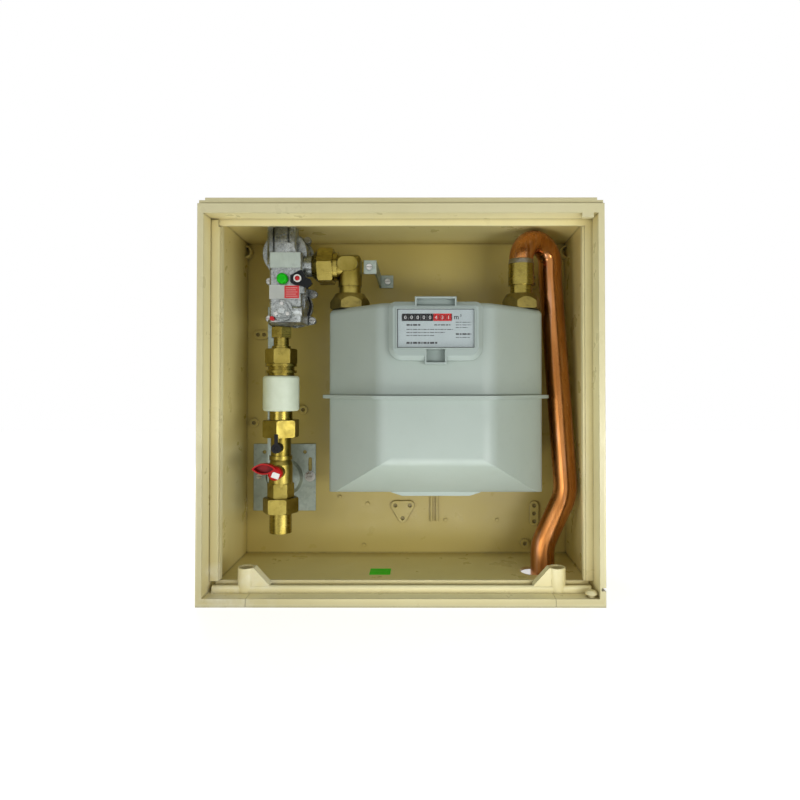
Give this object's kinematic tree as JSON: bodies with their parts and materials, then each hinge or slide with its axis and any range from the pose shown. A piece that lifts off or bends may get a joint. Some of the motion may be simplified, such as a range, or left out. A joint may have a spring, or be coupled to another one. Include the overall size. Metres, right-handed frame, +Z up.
{
  "type": "gas meter box",
  "caption": "Open-fronted moulded cabinet with a diaphragm gas meter, a regulator and shut-off valve on the inlet and a bent copper outlet pipe.",
  "frame": {"origin": "middle of the footprint, on the surface the cabinet stands on", "axes": "+X to the right as seen from the open front, +Y from the front to the back wall, +Z up"},
  "size_m": [0.53, 0.205, 0.5325],
  "materials": {
    "cabinet_plastic": "moulded, slightly satin",
    "meter_paint": "satin paint",
    "index_plastic": "moulded",
    "dial_white": "plain plate",
    "window": "clear",
    "shaft_steel": "drawn",
    "drum_black": "moulded",
    "drum_red": "moulded",
    "brass": "turned and cast",
    "dark_brass": "dull cast",
    "copper": "drawn copper tube, handled",
    "solder": "soft",
    "ball_chrome": "polished",
    "seat_white": "plain",
    "handle_red": "moulded",
    "tag_white": "plain",
    "black_rubber": "moulded",
    "sleeve_white": "moulded",
    "die_cast": "die cast",
    "button_green": "moulded",
    "button_red": "moulded",
    "lever_black": "moulded",
    "plate_silver": "satin",
    "galvanised": "galvanised sheet",
    "screw_steel": "plated"
  },
  "bodies": {
    "cabinet": {"box_shell": "cabinet_plastic", "left_strip": "cabinet_plastic", "hinge_rail": "cabinet_plastic", "rail_pin": "cabinet_plastic", "meter_upper_case": "meter_paint", "meter_lower_case": "meter_paint", "index_housing": "index_plastic", "index_plate": "dial_white", "index_window": "window", "drum_shaft": "shaft_steel", "meter_inlet_nut": "dark_brass", "meter_outlet_nut": "dark_brass", "outlet_tailpiece": "brass", "solder_ring": "solder", "copper_pipe": "copper", "service_tail": "brass", "service_union_nut": "brass", "valve_body": "brass", "valve_seats": "seat_white", "test_nipple": "brass", "test_cap": "black_rubber", "valve_union_nut": "brass", "lower_tail": "brass", "insulating_sleeve": "sleeve_white", "upper_tail": "brass", "isolator_union_nut": "brass", "inlet_nipple": "brass", "regulator_inlet_nut": "brass", "regulator_body": "die_cast", "diaphragm_cover": "die_cast", "slam_shut_cover": "die_cast", "lower_seal": "black_rubber", "trip_plate": "lever_black", "button_bezel": "tag_white", "regulator_nameplate": "plate_silver", "regulator_label": "tag_white", "sealing_plug": "button_red", "regulator_screws": "screw_steel", "regulator_outlet_nut": "brass", "outlet_elbow": "brass", "elbow_bracket": "galvanised", "bracket_screws": "screw_steel", "mounting_plate": "galvanised", "support_strip": "galvanised", "plate_screws": "screw_steel"},
    "valve_key": {"valve_handle": "handle_red", "handle_tag": "tag_white", "valve_stem": "brass", "valve_ball": "ball_chrome"},
    "reset_key": {"reset_button": "button_green"},
    "trip_key": {"trip_button": "button_red"},
    "drum_1": {"number_drum_1": "drum_black"},
    "drum_2": {"number_drum_2": "drum_black"},
    "drum_3": {"number_drum_3": "drum_black"},
    "drum_4": {"number_drum_4": "drum_black"},
    "drum_5": {"number_drum_5": "drum_black"},
    "drum_6": {"number_drum_6": "drum_red"},
    "drum_7": {"number_drum_7": "drum_red"},
    "drum_8": {"number_drum_8": "drum_red"}
  },
  "joints": [
    {"name": "valve_quarter_turn", "type": "hinge", "parent": "cabinet", "child": "valve_key", "pos_m": [-0.179, 0, 0.1625], "axis": [0, -1, 0], "range_deg": [0, 90]},
    {"name": "reset_press", "type": "slide", "parent": "cabinet", "child": "reset_key", "axis": [0, 1, 0], "range_m": [0, 0.003], "stiffness_N_per_m": 600, "springref_m": -0.002},
    {"name": "trip_press", "type": "slide", "parent": "cabinet", "child": "trip_key", "axis": [0, 1, 0], "range_m": [0, 0.0025], "stiffness_N_per_m": 500, "springref_m": -0.002},
    {"name": "drum_8_turn", "type": "hinge", "parent": "cabinet", "child": "drum_8", "pos_m": [0.06235, -0.08395, 0.3755], "axis": [1, 0, 0], "continuous": true},
    {"name": "drum_7_turn", "type": "hinge", "parent": "cabinet", "child": "drum_7", "pos_m": [0.05425, -0.08395, 0.3755], "axis": [1, 0, 0], "continuous": true},
    {"name": "drum_6_turn", "type": "hinge", "parent": "cabinet", "child": "drum_6", "pos_m": [0.04615, -0.08395, 0.3755], "axis": [1, 0, 0], "continuous": true},
    {"name": "drum_5_turn", "type": "hinge", "parent": "cabinet", "child": "drum_5", "pos_m": [0.03805, -0.08395, 0.3755], "axis": [1, 0, 0], "continuous": true},
    {"name": "drum_4_turn", "type": "hinge", "parent": "cabinet", "child": "drum_4", "pos_m": [0.02995, -0.08395, 0.3755], "axis": [1, 0, 0], "continuous": true},
    {"name": "drum_3_turn", "type": "hinge", "parent": "cabinet", "child": "drum_3", "pos_m": [0.02185, -0.08395, 0.3755], "axis": [1, 0, 0], "continuous": true},
    {"name": "drum_2_turn", "type": "hinge", "parent": "cabinet", "child": "drum_2", "pos_m": [0.01375, -0.08395, 0.3755], "axis": [1, 0, 0], "continuous": true},
    {"name": "drum_1_turn", "type": "hinge", "parent": "cabinet", "child": "drum_1", "pos_m": [0.00565, -0.08395, 0.3755], "axis": [1, 0, 0], "continuous": true}
  ],
  "couplings": [
    {"joint": "drum_7_turn", "follows": "drum_8_turn", "ratio": 0.1},
    {"joint": "drum_6_turn", "follows": "drum_8_turn", "ratio": 0.01},
    {"joint": "drum_5_turn", "follows": "drum_8_turn", "ratio": 0.001},
    {"joint": "drum_4_turn", "follows": "drum_8_turn", "ratio": 0.0001},
    {"joint": "drum_3_turn", "follows": "drum_8_turn", "ratio": 0.00001},
    {"joint": "drum_2_turn", "follows": "drum_8_turn", "ratio": 0.000001},
    {"joint": "drum_1_turn", "follows": "drum_8_turn", "ratio": 0.0000001}
  ]
}
